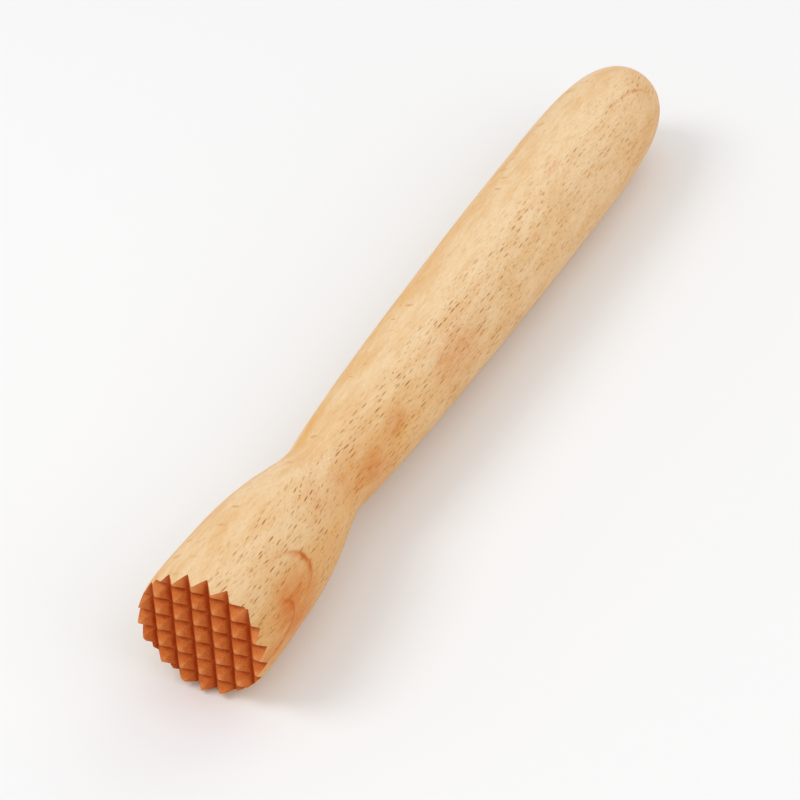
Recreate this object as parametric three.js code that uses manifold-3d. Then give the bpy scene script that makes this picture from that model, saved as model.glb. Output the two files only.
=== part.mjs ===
// Wooden muddler, turned from one piece of beech. Millimetres, +Z up.
//
// It lies on its side as it would on a bar: the axis runs along Y, the toothed face looks
// towards -Y and the rounded grip points towards +Y. The origin is under the middle of it,
// on the surface it lies on. The muddler has no joint, seam or fastener, so it is one mesh.

import * as THREE from 'three';
import { mergeVertices } from 'three/addons/utils/BufferGeometryUtils.js';
import Module from 'manifold-3d';

// ---- driving dimensions ----

const LENGTH = 210; // toothed face to the end of the grip
const HEAD_RADIUS = 14; // fullest part of the head, 28 mm across
const HEAD_BELLY_AT = 9; // distance of the fullest part from the toothed face
const FACE_RADIUS = 13.1; // rim of the toothed face
const NECK_RADIUS = 9.05; // thinnest part, behind the head
const NECK_AT = 51;
const GRIP_RADIUS = 12.68; // fullest part of the handle
const GRIP_BELLY_AT = 168; // from here the handle closes to its rounded end
const ROUND_END_POWER = 3.2; // 2 and 2 make an ellipse, more is fuller at the shoulder
const ROUND_END_ROOT = 3.5;

const TOOTH_PITCH = 4.12; // centre to centre, both ways
const TIP_WIDTH = 0.2; // small flat left on each tooth
const COLUMN_DEPTH = 2.5; // of the upright V-grooves, tip to valley
const ROW_DEPTH = 2.3; // of the level ones, a little less
const GROOVE_COUNT = 6; // each way
const STOCK = 0.3; // left in front of the tips by the lathe, and cut away with the grooves
const GRID_SHIFT = -0.36; // the middle tooth from the axis, across
const GRID_DROP = 0.48; // and below it

const SIDES = 32; // flats round the turned body, one of them underneath
const RINGS_PER_SPAN = 2; // rings between two places on the outline
const END_STEPS = 14; // rings on the rounded end
const CUTTER_BORDER = 4.5; // of the face cutter from its middle, well past the rim, in pitches
const CUTTER_LID = -1.3; // back of the face cutter, clear of the stock
const WELD_DISTANCE = 1e-4; // corners closer than this are one

// ---- the turned outline: radius at a distance from the toothed face ----

const HEAD_OUTLINE = [
  [0, FACE_RADIUS],
  [3.5, HEAD_RADIUS - 0.16],
  [HEAD_BELLY_AT, HEAD_RADIUS],
  [17, HEAD_RADIUS - 0.26],
  [25, HEAD_RADIUS - 0.66],
  [31, HEAD_RADIUS - 1.26],
  [37, HEAD_RADIUS - 2.25],
  [42.5, HEAD_RADIUS - 3.5],
  [47, NECK_RADIUS + 0.45],
];

const HANDLE_OUTLINE = [
  [NECK_AT, NECK_RADIUS],
  [55, NECK_RADIUS + 0.24],
  [60, NECK_RADIUS + 0.68],
  [70, GRIP_RADIUS - 2.35],
  [84, GRIP_RADIUS - 1.7],
  [104, GRIP_RADIUS - 1.08],
  [136, GRIP_RADIUS - 0.32],
  [GRIP_BELLY_AT, GRIP_RADIUS],
];

function turnedRings() {
  const places = [...HEAD_OUTLINE, ...HANDLE_OUTLINE];
  const curve = new THREE.SplineCurve(places.map(([along, radius]) => new THREE.Vector2(radius, along)));
  return curve.getPoints(RINGS_PER_SPAN * (places.length - 1));
}

function roundEnd() {
  const rings = [];
  for (let step = 1; step <= END_STEPS; step += 1) {
    // Even steps round a quarter turn put the rings closest where the end curves most.
    const along = Math.sin((step / END_STEPS) * (Math.PI / 2));
    const shrink = Math.max(0, 1 - along ** ROUND_END_POWER) ** (1 / ROUND_END_ROOT);
    const place = GRIP_BELLY_AT + (LENGTH - GRIP_BELLY_AT) * along;
    rings.push(new THREE.Vector2(step === END_STEPS ? 0 : GRIP_RADIUS * shrink, place));
  }
  return rings;
}

function bodyOutline() {
  const front = [new THREE.Vector2(0, -STOCK), new THREE.Vector2(FACE_RADIUS, -STOCK)];
  return [...front, ...turnedRings(), ...roundEnd()];
}

function turnedBlank() {
  // Flats touch the true radius at their middles, so the width across the flats is the real one.
  const toCorner = 1 / Math.cos(Math.PI / SIDES);
  const points = bodyOutline().map(({ x, y }) => new THREE.Vector2(x * toCorner, y));
  return new THREE.LatheGeometry(points, SIDES, Math.PI / SIDES);
}

// ---- the negative of the toothed face: crossing V-grooves, as one cutter ----

function grooveLines() {
  const first = -(GROOVE_COUNT - 1) / 2;
  const grooves = Array.from({ length: GROOVE_COUNT }, (_, count) => first + count);
  return [-CUTTER_BORDER, ...grooves, CUTTER_BORDER].map((pitches) => pitches * TOOTH_PITCH);
}

function inset([low, high], distance) {
  return [low + distance, high - distance];
}

function rectangle([left, right], [low, high], depth) {
  return [[left, depth, low], [right, depth, low], [right, depth, high], [left, depth, high]];
}

function quad(a, b, c, d) {
  return [a, b, c, a, c, d];
}

// One tooth's place in the cutter. The flat tip has two steep flanks down to the deeper column
// valleys and two down to the row valleys, which end where they meet the steep flanks.
function toothMould(across, up, [atBottom, atRight, atTop, atLeft]) {
  const flank = (TOOTH_PITCH - TIP_WIDTH) / 2;
  const [t1, t2, t3, t4] = rectangle(inset(across, flank), inset(up, flank), 0);
  const toSteepFlank = flank * (1 - ROW_DEPTH / COLUMN_DEPTH);
  const [r1, r2, r3, r4] = rectangle(inset(across, toSteepFlank), up, ROW_DEPTH);
  const [c1, c2, c3, c4] = rectangle(across, up, COLUMN_DEPTH);
  const [l1, l2, l3, l4] = rectangle(across, up, CUTTER_LID);
  const faces = [
    quad(t4, t3, t2, t1), quad(l1, l2, l3, l4),
    quad(r1, t1, t2, r2), quad(r3, t3, t4, r4),
    quad(c2, r2, r3, c3), quad(r2, t2, t3, r3),
    quad(c4, r4, r1, c1), quad(r4, t4, t1, r1),
  ];
  if (atBottom) faces.push(quad(l1, r1, r2, l2), [l1, c1, r1], [l2, r2, c2]);
  if (atTop) faces.push(quad(l3, r3, r4, l4), [l3, c3, r3], [l4, r4, c4]);
  if (atRight) faces.push(quad(l2, c2, c3, l3));
  if (atLeft) faces.push(quad(l4, c4, c1, l1));
  return faces.flat(2);
}

function faceCutter() {
  const lines = grooveLines();
  const last = lines.length - 2;
  const corners = [];
  for (let column = 0; column <= last; column += 1) {
    for (let row = 0; row <= last; row += 1) {
      const onBorder = [row === 0, column === last, row === last, column === 0];
      corners.push(...toothMould(lines.slice(column, column + 2), lines.slice(row, row + 2), onBorder));
    }
  }
  const cutter = new THREE.BufferGeometry();
  cutter.setAttribute('position', new THREE.Float32BufferAttribute(corners, 3));
  return cutter.translate(GRID_SHIFT, 0, -GRID_DROP);
}

// ---- cutting ----

const wasm = await Module();
wasm.setup();

function toSolid(geometry) {
  const bare = new THREE.BufferGeometry();
  bare.setAttribute('position', geometry.getAttribute('position').clone());
  bare.setIndex(geometry.getIndex());
  const merged = mergeVertices(bare, WELD_DISTANCE);
  const index = merged.getIndex().array;
  const faces = [];
  for (let i = 0; i < index.length; i += 3) {
    const [a, b, c] = [index[i], index[i + 1], index[i + 2]];
    if (a !== b && b !== c && c !== a) faces.push(a, b, c);
  }
  return new wasm.Manifold(new wasm.Mesh({
    numProp: 3,
    vertProperties: new Float32Array(merged.getAttribute('position').array),
    triVerts: new Uint32Array(faces),
  }));
}

function toGeometry(solid) {
  const mesh = solid.getMesh();
  const geometry = new THREE.BufferGeometry();
  geometry.setAttribute('position', new THREE.BufferAttribute(mesh.vertProperties, mesh.numProp));
  geometry.setIndex(new THREE.BufferAttribute(mesh.triVerts, 1));
  geometry.computeVertexNormals();
  return geometry;
}

function toothedBody() {
  return toGeometry(toSolid(turnedBlank()).subtract(toSolid(faceCutter())));
}

// ---- the muddler, lying on its two fullest rings ----

const beech = new THREE.MeshStandardMaterial({ color: 0xe3bd8a, roughness: 0.55, metalness: 0 });
const body = new THREE.Mesh(toothedBody(), beech);
body.name = 'muddler_body';

const muddler = new THREE.Group();
muddler.add(body);
muddler.rotation.x = -Math.atan((HEAD_RADIUS - GRIP_RADIUS) / (GRIP_BELLY_AT - HEAD_BELLY_AT));

const reach = new THREE.Box3().setFromObject(muddler, true);
const middle = reach.getCenter(new THREE.Vector3());
muddler.position.set(-middle.x, -middle.y, -reach.min.z);

export default muddler;
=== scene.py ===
"""A one-piece beech muddler lying on a pale floor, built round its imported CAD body. Metres, +Z up.

The axis runs along +Y from the toothed face to the rounded grip end. The visible piece is the same
turned body as the CAD node, made finer, with slightly blunt teeth and a procedural beech.
"""

import math

import bpy
import numpy as np
from mathutils import Matrix, Vector, noise


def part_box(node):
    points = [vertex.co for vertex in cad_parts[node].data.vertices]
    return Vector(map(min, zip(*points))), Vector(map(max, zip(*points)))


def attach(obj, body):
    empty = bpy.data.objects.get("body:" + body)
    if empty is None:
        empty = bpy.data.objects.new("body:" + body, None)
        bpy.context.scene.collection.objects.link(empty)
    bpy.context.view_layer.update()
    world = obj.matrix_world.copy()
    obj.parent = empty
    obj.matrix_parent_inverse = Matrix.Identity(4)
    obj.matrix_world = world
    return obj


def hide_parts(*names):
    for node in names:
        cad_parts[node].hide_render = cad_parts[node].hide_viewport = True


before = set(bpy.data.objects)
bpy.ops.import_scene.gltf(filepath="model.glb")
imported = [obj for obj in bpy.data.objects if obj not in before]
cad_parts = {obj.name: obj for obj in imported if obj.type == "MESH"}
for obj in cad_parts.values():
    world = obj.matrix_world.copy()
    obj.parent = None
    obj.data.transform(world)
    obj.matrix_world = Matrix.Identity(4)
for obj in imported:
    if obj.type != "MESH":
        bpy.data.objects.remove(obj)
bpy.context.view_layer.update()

MM = 0.001
NODE = "muddler_body"
low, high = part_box(NODE)
MIDDLE = (low + high) / 2

# ---- sizes, in millimetres, as in the CAD ----

LENGTH = (high.y - low.y) / MM - 0.1  # the tilt of the axis adds a tenth to the box
HEAD_RADIUS = (high.x - low.x) / MM / 2
HEAD_BELLY_AT = 9.0
FACE_RADIUS = 13.1
NECK_RADIUS = 9.05
NECK_AT = 51.0
GRIP_RADIUS = 12.68
GRIP_BELLY_AT = 168.0
ROUND_END_POWER = 3.2  # 2 would be an ellipse, more is fuller at the shoulder
ROUND_END_ROOT = 3.5

TOOTH_PITCH = 4.12
TIP_WIDTH = 0.2
COLUMN_DEPTH = 2.5  # of the upright grooves, tip to valley
ROW_DEPTH = 2.3  # of the level ones
GROOVE_COUNT = 6  # each way
GRID_SHIFT = -0.36  # the middle of the grid from the axis, along X
GRID_DROP = 0.48  # and below it

STOCK = 0.3  # left in front of the tips by the lathe, and cut away with the grooves
SANDED_BY = 0.045  # how far hand sanding leaves the surface from a true circle, at most

TILT = math.atan((HEAD_RADIUS - GRIP_RADIUS) / (GRIP_BELLY_AT - HEAD_BELLY_AT))

SIDES = 180
RINGS_PER_SPAN = 13  # between two places on the outline
END_RINGS = 30
SHARP_ANGLE = math.radians(33)  # edges sharper than this stay crisp

OUTLINE = [  # distance from the toothed face, radius
    (0.0, FACE_RADIUS),
    (3.5, HEAD_RADIUS - 0.16),
    (HEAD_BELLY_AT, HEAD_RADIUS),
    (17.0, HEAD_RADIUS - 0.26),
    (25.0, HEAD_RADIUS - 0.66),
    (31.0, HEAD_RADIUS - 1.26),
    (37.0, HEAD_RADIUS - 2.25),
    (42.5, HEAD_RADIUS - 3.5),
    (47.0, NECK_RADIUS + 0.45),
    (NECK_AT, NECK_RADIUS),
    (55.0, NECK_RADIUS + 0.24),
    (60.0, NECK_RADIUS + 0.68),
    (70.0, GRIP_RADIUS - 2.35),
    (84.0, GRIP_RADIUS - 1.7),
    (104.0, GRIP_RADIUS - 1.08),
    (136.0, GRIP_RADIUS - 0.32),
    (GRIP_BELLY_AT, GRIP_RADIUS),
]


# ---- the turned body ----

def turned_rings():
    """(distance, radius) of the rings on a smooth curve through the outline's places."""
    places = np.array([OUTLINE[0], *OUTLINE, OUTLINE[-1]])
    steps = np.arange(RINGS_PER_SPAN)[:, None] / RINGS_PER_SPAN
    rings = []
    for before, start, end, after in zip(places, places[1:], places[2:], places[3:]):
        leave, arrive = (end - before) / 2, (after - start) / 2
        cube = 2 * start - 2 * end + leave + arrive
        square = -3 * start + 3 * end - 2 * leave - arrive
        rings.append(((cube * steps + square) * steps + leave) * steps + start)
    return np.vstack([*rings, places[-1:]])


def round_end_rings():
    turn = np.linspace(0, math.pi / 2, END_RINGS + 1)[1:-1]
    along = np.sin(turn)
    radius = GRIP_RADIUS * (1 - along**ROUND_END_POWER) ** (1 / ROUND_END_ROOT)
    return np.column_stack([LENGTH - (LENGTH - GRIP_BELLY_AT) * (1 - along), radius])


def sanded(along, angle):
    """How far the sanded surface is from a true circle."""
    place = Vector((math.cos(angle) * 1.1, math.sin(angle) * 1.1, along * 0.045))
    return SANDED_BY * noise.noise(place)


def mesh_object(name, points, faces):
    mesh = bpy.data.meshes.new(name)
    mesh.from_pydata([tuple(p) for p in points], [], faces)
    mesh.validate()
    piece = bpy.data.objects.new(name, mesh)
    bpy.context.scene.collection.objects.link(piece)
    return piece


def turned_body():
    """The body as it leaves the lathe, with a flat face a little in front of the tooth tips."""
    rings = np.vstack([[-STOCK, FACE_RADIUS], turned_rings(), round_end_rings()])
    angles = np.arange(SIDES) * 2 * math.pi / SIDES
    points = []
    for along, radius in rings:
        # Both ends keep their true radius.
        fade = min(1.0, max(0.0, along / 6)) * min(1.0, (LENGTH - along) / 12)
        for angle in angles:
            r = radius - abs(fade * sanded(along, angle))
            points.append((r * math.sin(angle), along, r * math.cos(angle)))
    front, back = len(points), len(points) + 1
    points += [(0, -STOCK, 0), (0, LENGTH, 0)]
    faces = []
    for ring in range(len(rings) - 1):
        start = ring * SIDES
        for side in range(SIDES):
            a, b = start + side, start + (side + 1) % SIDES
            faces.append((a, b, b + SIDES, a + SIDES))
    last = (len(rings) - 1) * SIDES
    for side in range(SIDES):
        following = (side + 1) % SIDES
        faces.append((front, following, side))
        faces.append((back, last + side, last + following))
    return mesh_object("muddler", points, faces)


# ---- the teeth ----

GROOVES = [(i - (GROOVE_COUNT - 1) / 2) * TOOTH_PITCH for i in range(GROOVE_COUNT)]
FLANK_REACH = (TOOTH_PITCH - TIP_WIDTH) / 2  # from the bottom of a groove to the edge of a tip
DEPTHS = (COLUMN_DEPTH, ROW_DEPTH)
MOULD_BACK = -3.0  # clear of the stock in front of the tips

# Lines of the mould beside each groove. Those of the columns follow from those of the rows, so
# that the edges between the flanks run through the corners of the mould's squares.
VALLEY_LINES = (0, 0.04, 0.12)
ROW_LINES = (*VALLEY_LINES, 0.3, 0.7, 1.15, 1.55, 1.75, 1.86, 1.96)
COLUMN_LINES = (
    *VALLEY_LINES,
    *(FLANK_REACH - (FLANK_REACH - away) * ROW_DEPTH / COLUMN_DEPTH for away in ROW_LINES),
)

VALLEY_ROUNDING = 0.03
HIP_ROUNDING = 0.08  # of the edges between the flanks of a tooth
TIP_ROUNDING = 0.04
TIP_WEAR = (0.03, 0.04)  # the usual wear, and how far a tooth differs from it
TIP_UNEVEN = 0.035  # slow rise and fall over the whole face
WANDER = (0.14, 0.2)  # how far the column grooves and the row grooves stray, at most


def mould_lines(lines_beside):
    """Places of the mould's grid lines one way: close together at the tips and in the valleys."""
    past_the_rim = GROOVES[-1] + 2 * TOOTH_PITCH
    lines = {-past_the_rim, past_the_rim}
    for groove in GROOVES:
        for away in (*lines_beside, TOOTH_PITCH / 2):
            lines |= {round(groove - away, 4), round(groove + away, 4)}
    return sorted(lines)


def blunt(value, radius):
    """The size of value, with the corner at 0 rounded off."""
    return math.sqrt(value * value + radius * radius)


def soft_max(a, b, radius):
    return (a + b + blunt(a - b, radius)) / 2


def from_groove(place):
    """How far past the nearest groove a place is."""
    return min((place - groove for groove in GROOVES), key=abs)


def face_depth(x, z):
    """Depth below the tips at a place of the grid, with worn edges on what the grooves left."""
    column, row = (
        deep * (1 - blunt(from_groove(place), VALLEY_ROUNDING) / FLANK_REACH)
        for deep, place in zip(DEPTHS, (x, z))
    )
    tooth = Vector((round(x / TOOTH_PITCH) * 3.7, round(z / TOOTH_PITCH) * 5.3, 1.5))
    wear = TIP_WEAR[0] + TIP_WEAR[1] * noise.noise(tooth)
    uneven = TIP_UNEVEN + TIP_UNEVEN * noise.noise(Vector((x * 0.35, z * 0.35, 4.0)))
    return soft_max(soft_max(column, row, HIP_ROUNDING), wear, TIP_ROUNDING) + uneven


def wandered(x, z):
    """Where a place of the grid really is: grooves cut one by one wander by a tenth or so."""
    place = Vector((x * 0.22, z * 0.22, 8.0))
    elsewhere = place + Vector((0, 0, 9))
    return x + WANDER[0] * noise.noise(place), z + WANDER[1] * noise.noise(elsewhere)


def face_mould():
    """The negative of the toothed face, as one closed block to cut away."""
    columns, rows = mould_lines(COLUMN_LINES), mould_lines(ROW_LINES)
    count, last = len(columns), len(rows) - 1
    points = []
    for z in rows:
        for x in columns:
            real_x, real_z = wandered(x, z)
            points.append((real_x + GRID_SHIFT, face_depth(x, z), real_z - GRID_DROP))
    top = len(points)
    points += [(x, MOULD_BACK, z) for x, _, z in points]
    faces = []
    for j in range(last):
        past_row = from_groove((rows[j] + rows[j + 1]) / 2)
        for i in range(count - 1):
            past_column = from_groove((columns[i] + columns[i + 1]) / 2)
            a, b = j * count + i, j * count + i + 1
            c, d = a + count + 1, a + count
            # The crease runs out from where two grooves cross, so the split follows it.
            if past_row * past_column > 0:
                faces += [(a, d, c), (a, c, b)]
            else:
                faces += [(a, d, b), (b, d, c)]
            faces.append((top + a, top + b, top + c, top + d))
    low_side = [(i + 1, i) for i in range(count - 1)]
    high_side = [(last * count + i, last * count + i + 1) for i in range(count - 1)]
    left_side = [(j * count, (j + 1) * count) for j in range(last)]
    right_side = [((j + 2) * count - 1, (j + 1) * count - 1) for j in range(last)]
    for a, b in low_side + high_side + left_side + right_side:
        faces.append((b, a, top + a, top + b))
    return mesh_object("face_mould", points, faces)


def cut(piece, tool):
    cutting = piece.modifiers.new("teeth", "BOOLEAN")
    cutting.operation = "DIFFERENCE"
    cutting.solver = "MANIFOLD"
    cutting.object = tool
    graph = bpy.context.evaluated_depsgraph_get()
    mesh = bpy.data.meshes.new_from_object(piece.evaluated_get(graph), depsgraph=graph)
    piece.modifiers.clear()
    piece.data = mesh
    bpy.data.objects.remove(tool)


def mark_end_grain(mesh):
    """1 on the faces that the grooves left, which cross the grain, and 0 on the turned side."""
    behind_the_teeth, facing_forward = 4.0, -0.35
    marks = mesh.attributes.new("end_grain", "FLOAT", "FACE")
    cut_faces = [f.center.y < behind_the_teeth and f.normal.y < facing_forward for f in mesh.polygons]
    marks.data.foreach_set("value", [float(is_cut) for is_cut in cut_faces])


def muddler_mesh():
    piece = turned_body()
    cut(piece, face_mould())
    mesh = piece.data
    mesh.materials.clear()
    mesh.materials.append(beech())
    mesh.polygons.foreach_set("material_index", [0] * len(mesh.polygons))
    mark_end_grain(mesh)
    mesh.transform(Matrix.Rotation(-TILT, 4, "X"))
    mesh.transform(Matrix.Scale(MM, 4))
    corners = np.array([v.co for v in mesh.vertices])
    lowest, highest = corners.min(0), corners.max(0)
    along = MIDDLE.y - (lowest[1] + highest[1]) / 2
    mesh.transform(Matrix.Translation((0, along, low.z - lowest[2])))
    mesh.shade_smooth()
    mesh.set_sharp_from_angle(angle=SHARP_ANGLE)
    return piece


# ---- materials ----

class Nodes:
    """Short ways to add shader nodes to one material."""

    def __init__(self, name):
        self.material = bpy.data.materials.new(name)
        self.material.use_nodes = True
        self.tree = self.material.node_tree
        self.shader = self.tree.nodes["Principled BSDF"]

    def put(self, socket, value):
        if isinstance(value, bpy.types.NodeSocket):
            self.tree.links.new(value, socket)
        else:
            socket.default_value = value

    def math(self, operation, a, b=0.0, c=0.0, clamp=False):
        node = self.tree.nodes.new("ShaderNodeMath")
        node.operation = operation
        node.use_clamp = clamp
        for socket, value in zip(node.inputs, (a, b, c)):
            self.put(socket, value)
        return node.outputs[0]

    def vector(self, operation, a, b=(0, 0, 0)):
        node = self.tree.nodes.new("ShaderNodeVectorMath")
        node.operation = operation
        self.put(node.inputs[0], a)
        self.put(node.inputs[1], b)
        return node.outputs["Value" if operation == "LENGTH" else "Vector"]

    def xyz(self, x, y, z):
        node = self.tree.nodes.new("ShaderNodeCombineXYZ")
        for socket, value in zip(node.inputs, (x, y, z)):
            self.put(socket, value)
        return node.outputs[0]

    def split(self, vector):
        node = self.tree.nodes.new("ShaderNodeSeparateXYZ")
        self.put(node.inputs[0], vector)
        return node.outputs

    def noise(self, vector, detail, roughness=0.5):
        node = self.tree.nodes.new("ShaderNodeTexNoise")
        self.put(node.inputs["Vector"], vector)
        node.inputs["Scale"].default_value = 1.0
        node.inputs["Detail"].default_value = detail
        node.inputs["Roughness"].default_value = roughness
        return node.outputs["Fac"]

    def cells(self, vector):
        node = self.tree.nodes.new("ShaderNodeTexVoronoi")
        self.put(node.inputs["Vector"], vector)
        node.inputs["Scale"].default_value = 1.0
        return node.outputs["Position"], self.split(node.outputs["Color"])

    def step(self, value, start, end, low=0.0, high=1.0):
        node = self.tree.nodes.new("ShaderNodeMapRange")
        node.interpolation_type = "SMOOTHSTEP"
        for socket, given in zip(node.inputs, (value, start, end, low, high)):
            self.put(socket, given)
        return node.outputs[0]

    def mix(self, factor, a, b):
        node = self.tree.nodes.new("ShaderNodeMix")
        node.data_type = "RGBA"
        for name, value in (("Factor_Float", factor), ("A_Color", a), ("B_Color", b)):
            socket = next(s for s in node.inputs if s.identifier == name)
            self.put(socket, value)
        return next(s for s in node.outputs if s.identifier == "Result_Color")

    def bump(self, height, distance, strength):
        node = self.tree.nodes.new("ShaderNodeBump")
        node.inputs["Strength"].default_value = strength
        node.inputs["Distance"].default_value = distance
        self.put(node.inputs["Height"], height)
        return node.outputs[0]

    def attribute(self, name):
        node = self.tree.nodes.new("ShaderNodeAttribute")
        node.attribute_name = name
        return node.outputs["Fac"]


def srgb(red, green, blue):
    """A colour given as 0 to 255, as the linear values that shaders use."""
    parts = [c / 255 for c in (red, green, blue)]
    return (*[c / 12.92 if c <= 0.04045 else ((c + 0.055) / 1.055) ** 2.4 for c in parts], 1.0)


CREAM = srgb(236, 206, 163)
TAN = srgb(219, 168, 106)
RUDDY = srgb(208, 120, 42)
LATE = srgb(196, 96, 12)
AMBER = srgb(226, 170, 92)
FLECK = srgb(168, 108, 50)
RIBBON = srgb(202, 138, 62)
BRUISED_TIP_AND_HIGHLIGHT = srgb(221, 144, 84)
FLANK = srgb(208, 114, 50)
VALLEY_BURN_AND_SHADE = srgb(180, 66, 2)

TREE_SIDE = math.radians(30)  # the side that faced the bark, from +X towards +Z
PITH_AWAY = 60.0  # the tree's middle, from the muddler's axis, in millimetres
RING_WIDTH = 2.7
GRAIN_SLOPE = 0.06  # the rings come nearer the axis towards the grip
RAY_REACH = 14.0  # how far out from the pith one ray goes before another takes its place
GRAIN_RELIEF = 0.04 * MM
SPECULAR_LEVEL = 0.18  # weak, as on sanded wood; the shader starts at 0.5

# Ruddy and amber patches: distance from the face in mm and degrees from +X towards +Z,
# the size of each both ways, and its strength.
RUDDY_PATCHES = (
    ((67, 36), (5.5, 17), 0.62),
    ((56, 18), (10, 38), 0.62),
    ((94, 30), (12, 36), 0.36),
    ((50, 40), (16, 32), 0.24),
    ((36, 42), (4, 24), 0.24),
    ((14, 7), (11, 35), 0.9),
    ((5, -4), (8, 18), 0.55),
    ((155, 71), (6, 5), 0.26),
)
AMBER_FIGURE_AND_EDGE_SHADE = (
    # The first three run along the upper-left edge: partly amber figure, partly painted shade where
    # the light falls off towards that edge.
    ((12, 140), (30, 20), 0.75),
    ((58, 132), (18, 18), 0.85),
    ((112, 137), (92, 26), 0.68),
    ((50, 90), (10, 14), 0.2),
    ((64, 30), (28, 38), 0.42),
    ((40, 32), (9, 24), 0.3),
)

# Late wood of the two rings that come out on the head, and one on the grip end: the middle
# and reach of each arch, both ways, the degrees at which it shows most, and its strength.
ARCHES = (
    ((8, 28), (14.7, 30), 31, 0.85),
    ((0, 13), (13.3, 21), 8, 1.0),
    ((184, 40), (16, 26), 58, 0.3),
)
ARCH_SHOWS_FOR = 26.0  # degrees either way, fading out


def wood_space(n):
    """Place from the axis at the toothed face, across and beside the rings, and along the grain."""
    coordinates = n.tree.nodes.new("ShaderNodeTexCoord").outputs["Object"]
    x, y, z = n.split(n.vector("MULTIPLY", coordinates, (1000, 1000, 1000)))
    along = n.math("ADD", y, LENGTH / 2)
    up = n.math("ADD", z, n.math("MULTIPLY_ADD", along, math.tan(TILT), -HEAD_RADIUS))
    place = n.xyz(x, along, up)
    cosine, sine = math.cos(TREE_SIDE), math.sin(TREE_SIDE)
    across = n.math("ADD", n.math("MULTIPLY", x, cosine), n.math("MULTIPLY", up, sine))
    beside = n.math("ADD", n.math("MULTIPLY", x, -sine), n.math("MULTIPLY", up, cosine))
    turn = n.math("MULTIPLY", n.math("ARCTAN2", up, x), math.degrees(1))
    return place, across, beside, along, turn


def rings(n, across, beside, along, wave):
    """0 in early wood, rising to 1 at the late wood's edge of each growth ring."""
    out = n.math("ADD", across, PITH_AWAY)
    radius = n.vector("LENGTH", n.xyz(out, beside, 0))
    drift = n.math("MULTIPLY_ADD", wave, 6.0, n.math("MULTIPLY", along, -GRAIN_SLOPE))
    part = n.math("FRACT", n.math("DIVIDE", n.math("ADD", radius, drift), RING_WIDTH))
    late = n.math("POWER", part, 4.0)
    return n.math("MULTIPLY", late, n.step(part, 1.0, 0.93))


def share_of_reach(n, along, turn, middle, reach):
    """Distance from a middle on the surface, as a share of the reach each way."""
    return n.vector(
        "LENGTH",
        n.xyz(
            n.math("MULTIPLY_ADD", along, 1 / reach[0], -middle[0] / reach[0]),
            n.math("MULTIPLY_ADD", turn, 1 / reach[1], -middle[1] / reach[1]),
            0,
        ),
    )


def patches(n, along, turn, listed):
    """How much of any of the listed patches is at a place."""
    total = 0.0
    for middle, reach, strength in listed:
        patch = n.step(share_of_reach(n, along, turn, middle, reach), 1.25, 0.1, 0, strength)
        total = n.math("MAXIMUM", total, patch)
    return total


def arches(n, along, turn):
    """The late wood that comes out on the surface as arches round the tree's side."""
    total = 0.0
    for middle, reach, strongest, strength in ARCHES:
        ring = share_of_reach(n, along, turn, middle, reach)
        inside = n.math("POWER", n.step(ring, 0.8, 1.0), 3.0)
        line = n.math("MULTIPLY", inside, n.step(ring, 1.06, 0.99))
        away = n.math("ABSOLUTE", n.math("SUBTRACT", turn, strongest))
        shows = n.step(away, ARCH_SHOWS_FOR, ARCH_SHOWS_FOR * 0.3, 0, strength)
        line = n.math("MULTIPLY", line, shows)
        line = n.math("MULTIPLY", line, n.step(along, middle[0], middle[0] + 2))
        total = n.math("MAXIMUM", total, line)
    return total


def flecks(n, across, beside, along, pitch, size, start, share):
    """Dashes scattered over the surface. pitch and size are (beside, along)."""
    grid = n.xyz(
        n.math("MULTIPLY_ADD", beside, 1 / pitch[0], start),
        n.math("MULTIPLY_ADD", along, 1 / pitch[1], start),
        n.math("MULTIPLY", across, 1 / RAY_REACH),
    )
    centre, chance = n.cells(grid)
    away = n.vector("SUBTRACT", grid, centre)
    reach = n.step(chance[0], 0, 1, 0.6, 1.5)
    away = n.vector("MULTIPLY", away, (pitch[0] / size[0], pitch[1] / size[1], 0))
    distance = n.math("DIVIDE", n.vector("LENGTH", away), reach)
    dash = n.step(distance, 1.0, 0.3)
    return n.math("MULTIPLY", dash, n.step(chance[1], 1 - share, 1 - share + 0.4))


def ground_colour(n, beside, along, smear, mottle):
    """Tan on the log's one side and cream on the other, mottled; the tan side is also painted shade.
    """
    # Painted shade: the side away from the key light, more so towards the head, is mixed towards tan.
    side = n.math("MULTIPLY", n.step(beside, 12.0, -9.0), n.step(along, 120.0, 15.0, 0.55, 0.95))
    tan = n.math("ADD", side, n.step(smear, 0.35, 0.7, -0.12, 0.3))
    tan = n.math("ADD", tan, n.step(along, 100.0, 25.0, 0.0, 0.18))
    tan = n.math("ADD", tan, n.step(along, 180.0, 205.0, 0.0, 0.3), clamp=True)
    colour = n.mix(tan, CREAM, TAN)
    return n.mix(n.step(mottle, 0.42, 0.74, 0.0, 0.36), colour, TAN)


def with_figure(n, colour, along, turn, wave, smear, mottle):
    """The patches are ragged, the arches less so, and all are broken up by the smears."""
    ragged = n.math("MULTIPLY_ADD", smear, 5.0, n.math("ADD", along, -2.5))
    turned = n.math("MULTIPLY_ADD", wave, 14.0, n.math("ADD", turn, -7))
    nearly_clean = n.math("MULTIPLY_ADD", mottle, 1.6, n.math("ADD", along, -0.8))
    smeared = n.step(smear, 0.2, 0.62, 0.5, 1.1)
    broken = n.math("MULTIPLY", smeared, n.step(mottle, 0.3, 0.62, 0.7, 1.15))
    for shade, share in (
        (AMBER, patches(n, ragged, turned, AMBER_FIGURE_AND_EDGE_SHADE)),
        (RUDDY, patches(n, ragged, turned, RUDDY_PATCHES)),
        (LATE, arches(n, nearly_clean, turn)),
    ):
        colour = n.mix(n.math("MULTIPLY", share, broken), colour, shade)
    return colour


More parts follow.
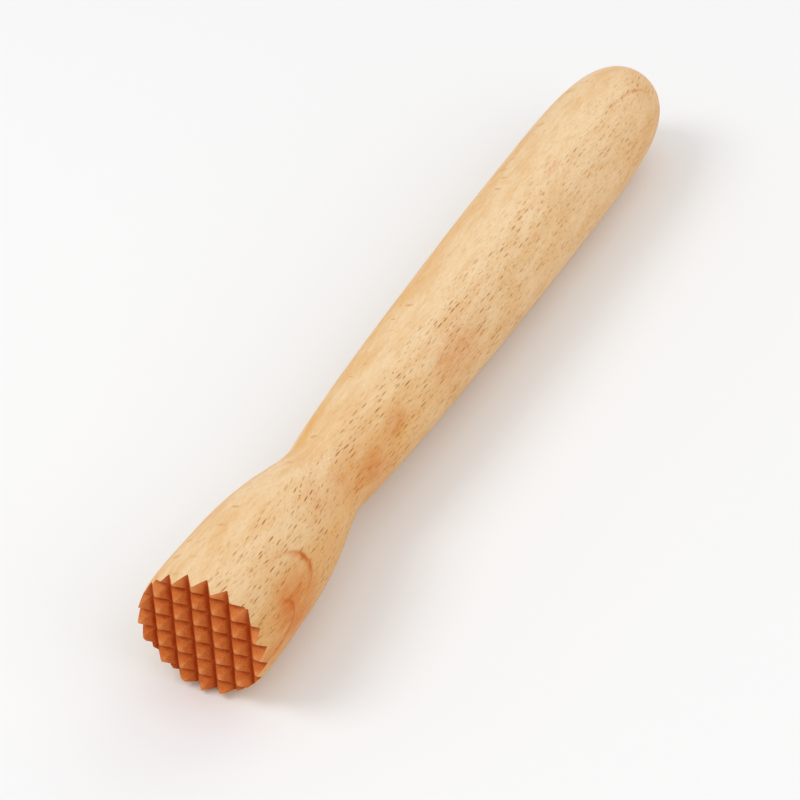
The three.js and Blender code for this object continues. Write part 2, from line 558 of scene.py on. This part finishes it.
def ray_dashes(n, across, beside, along, smear, radial):
    """The ends of rays: thin plates that run out from the pith, fewer where they lie flat."""
    large = flecks(n, across, beside, along, (1.1, 2.9), (0.125, 1.1), 0.0, 0.85)
    small = flecks(n, across, beside, along, (0.66, 1.8), (0.08, 0.65), 7.3, 0.8)
    smeared = n.step(smear, 0.3, 0.6, 0.35, 1.0)
    clusters = n.math("MULTIPLY", smeared, n.step(radial, 0.96, 0.6, 0.25, 1.0))
    clusters = n.math("MULTIPLY", clusters, n.step(along, 40.0, 190.0, 1.1, 0.72))
    ray = n.math("MAXIMUM", n.math("MULTIPLY", large, 0.95), n.math("MULTIPLY", small, 0.55))
    return n.math("MULTIPLY", ray, clusters, clamp=True)


def side_grain(n, place, across, beside, along, turn):
    """Colour of the turned side, how much of it is ray, and its fibre."""
    wave = n.noise(n.vector("MULTIPLY", place, (0.07, 0.025, 0.07)), detail=2.0)
    smear = n.noise(n.vector("MULTIPLY", place, (0.28, 0.07, 0.28)), detail=3.0, roughness=0.6)
    mottle = n.noise(n.vector("MULTIPLY", place, (0.9, 0.22, 0.9)), detail=3.0, roughness=0.65)
    fibre = n.noise(n.vector("MULTIPLY", place, (6.0, 0.5, 6.0)), detail=3.0, roughness=0.7)

    colour = ground_colour(n, beside, along, smear, mottle)
    ring = rings(n, across, beside, along, wave)
    ring = n.math("MULTIPLY", ring, n.step(smear, 0.3, 0.7, 0.02, 0.22))
    colour = n.mix(ring, colour, AMBER)
    radial = n.math("ABSOLUTE", n.split(n.vector("NORMALIZE", n.xyz(across, beside, 0)))[1])
    silver = n.math("MULTIPLY", n.step(radial, 0.85, 1.0), n.step(smear, 0.35, 0.65, 0.04, 0.2))
    colour = n.mix(silver, colour, AMBER)
    colour = with_figure(n, colour, along, turn, wave, smear, mottle)
    colour = n.mix(n.step(fibre, 0.42, 0.78, 0.0, 0.26), colour, FLECK)

    # On the sides where the rays lie flat they show as short ribbons across the grain.
    ribbon = flecks(n, beside, across, along, (4.2, 5.0), (1.1, 0.5), 3.1, 0.6)
    ribbon = n.math("MULTIPLY", ribbon, n.step(radial, 0.93, 0.99, 0, 0.6))
    colour = n.mix(ribbon, colour, RIBBON)
    ray = ray_dashes(n, across, beside, along, smear, radial)
    return n.mix(ray, colour, n.mix(n.step(radial, 0.7, 0.95), FLECK, AMBER)), ray, fibre


def tooth_grain(n, place, along):
    """Colour of the cut teeth, which cross the grain: pale at the tips, partly bruised fibre and
    partly painted highlight, and dark in the valleys, partly saw burn and partly painted shade.
    """
    pores = n.noise(n.vector("MULTIPLY", place, (2.8, 1.2, 2.8)), detail=4.0, roughness=0.75)
    patch = n.noise(n.vector("MULTIPLY", place, (0.45, 0.3, 0.45)), detail=2.0)
    # Paler near the upper rim, where the cutter only just bit.
    from_axis = n.vector("LENGTH", n.vector("MULTIPLY", place, (1, 0, 1)))
    upper = n.step(n.split(place)[2], -5.0, 6.0, 0.0, 0.5)
    clean = n.math("SUBTRACT", 1.0, n.math("MULTIPLY", n.step(from_axis, 10.5, 13.4), upper))
    # Paler towards the tips: partly bruised fibre, partly a painted highlight on the ridges.
    colour = n.mix(n.math("MULTIPLY", n.step(along, 0.1, 1.1), clean), BRUISED_TIP_AND_HIGHLIGHT, FLANK)
    # Painted shade in the grooves, with some saw burn: the valley colour grows with depth below the
    # tips.
    deep = n.math("POWER", n.step(along, 1.2, COLUMN_DEPTH + 0.1), 1.6)
    deep = n.math("ADD", deep, n.step(pores, 0.36, 0.7, -0.12, 0.42))
    deep = n.math("ADD", deep, n.step(patch, 0.35, 0.7, -0.06, 0.16), clamp=True)
    return n.mix(n.math("MULTIPLY", deep, clean), colour, VALLEY_BURN_AND_SHADE), pores


def beech():
    n = Nodes("beech")
    place, across, beside, along, turn = wood_space(n)
    side_colour, ray, fibre = side_grain(n, place, across, beside, along, turn)
    tooth_colour, pores = tooth_grain(n, place, along)
    tooth = n.attribute("end_grain")
    n.put(n.shader.inputs["Base Color"], n.mix(tooth, side_colour, tooth_colour))
    roughness = n.math("MULTIPLY_ADD", ray, 0.15, 0.46)
    roughness = n.math("MULTIPLY_ADD", tooth, 0.3, roughness)
    n.put(n.shader.inputs["Roughness"], roughness)
    n.shader.inputs["Specular IOR Level"].default_value = SPECULAR_LEVEL

    height = n.math("SUBTRACT", n.math("MULTIPLY", fibre, 0.6), n.math("MULTIPLY", ray, 0.8))
    height = n.math("ADD", height, n.math("MULTIPLY", n.math("MULTIPLY", pores, tooth), 2.0))
    n.put(n.shader.inputs["Normal"], n.bump(height, GRAIN_RELIEF, 0.7))
    return n.material


# ---- stage, light and camera ----

def plain(name, colour, roughness):
    n = Nodes(name)
    n.shader.inputs["Base Color"].default_value = colour
    n.shader.inputs["Roughness"].default_value = roughness
    return n.material


def floor():
    reach = 3.0
    corners = [(-reach, -reach, 0), (reach, -reach, 0), (reach, reach, 0), (-reach, reach, 0)]
    piece = mesh_object("floor", corners, [(0, 1, 2, 3)])
    piece.location.z = low.z
    piece.data.materials.append(plain("pale_floor", (0.86, 0.86, 0.86, 1), 0.7))


def softbox(name, place, width, power):
    lamp = bpy.data.lights.new(name, "AREA")
    lamp.shape = "DISK"
    lamp.size = width
    lamp.energy = power
    piece = bpy.data.objects.new(name, lamp)
    piece.location = MIDDLE + Vector(place)
    piece.rotation_euler = (-Vector(place)).to_track_quat("-Z", "Y").to_euler()
    bpy.context.scene.collection.objects.link(piece)


def lighting():
    """A key light from the upper left, two weaker ones from the right and behind, and a pale world."""
    softbox("key", (-0.55, -0.35, 0.75), 0.5, 2.95)
    softbox("fill", (0.7, -0.1, 0.6), 0.9, 2.0)
    softbox("back", (0.1, 0.9, 0.6), 0.8, 1.2)
    world = bpy.data.worlds.new("studio")
    world.use_nodes = True
    background = world.node_tree.nodes["Background"]
    background.inputs["Color"].default_value = (1, 1, 1, 1)
    background.inputs["Strength"].default_value = 0.72
    bpy.context.scene.world = world
    bpy.context.scene.view_settings.view_transform = "Standard"


VIEW_AZIMUTH = math.radians(27.66)  # 0 looks along +Y
VIEW_ELEVATION = math.radians(38.32)
VIEW_ROLL = math.radians(-2.47)
VIEW_DISTANCE = 0.6205
LENS = 135.3  # millimetres
SENSOR_WIDTH = 36  # millimetres
AIM_FROM_MIDDLE = Vector((0.0018, -0.0228, -0.0016))


def camera():
    data = bpy.data.cameras.new("camera")
    data.lens = LENS
    data.sensor_width = SENSOR_WIDTH
    data.clip_start = 0.01
    piece = bpy.data.objects.new("camera", data)
    flat = math.cos(VIEW_ELEVATION)
    forward = Vector(
        (-math.sin(VIEW_AZIMUTH) * flat, math.cos(VIEW_AZIMUTH) * flat, -math.sin(VIEW_ELEVATION))
    )
    turn = forward.to_track_quat("-Z", "Y").to_matrix() @ Matrix.Rotation(VIEW_ROLL, 3, "Z")
    place = MIDDLE + AIM_FROM_MIDDLE - forward * VIEW_DISTANCE
    piece.matrix_world = Matrix.Translation(place) @ turn.to_4x4()
    bpy.context.scene.collection.objects.link(piece)
    bpy.context.scene.camera = piece


camera()
muddler = muddler_mesh()
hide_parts(NODE)
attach(muddler, "root")
floor()
lighting()
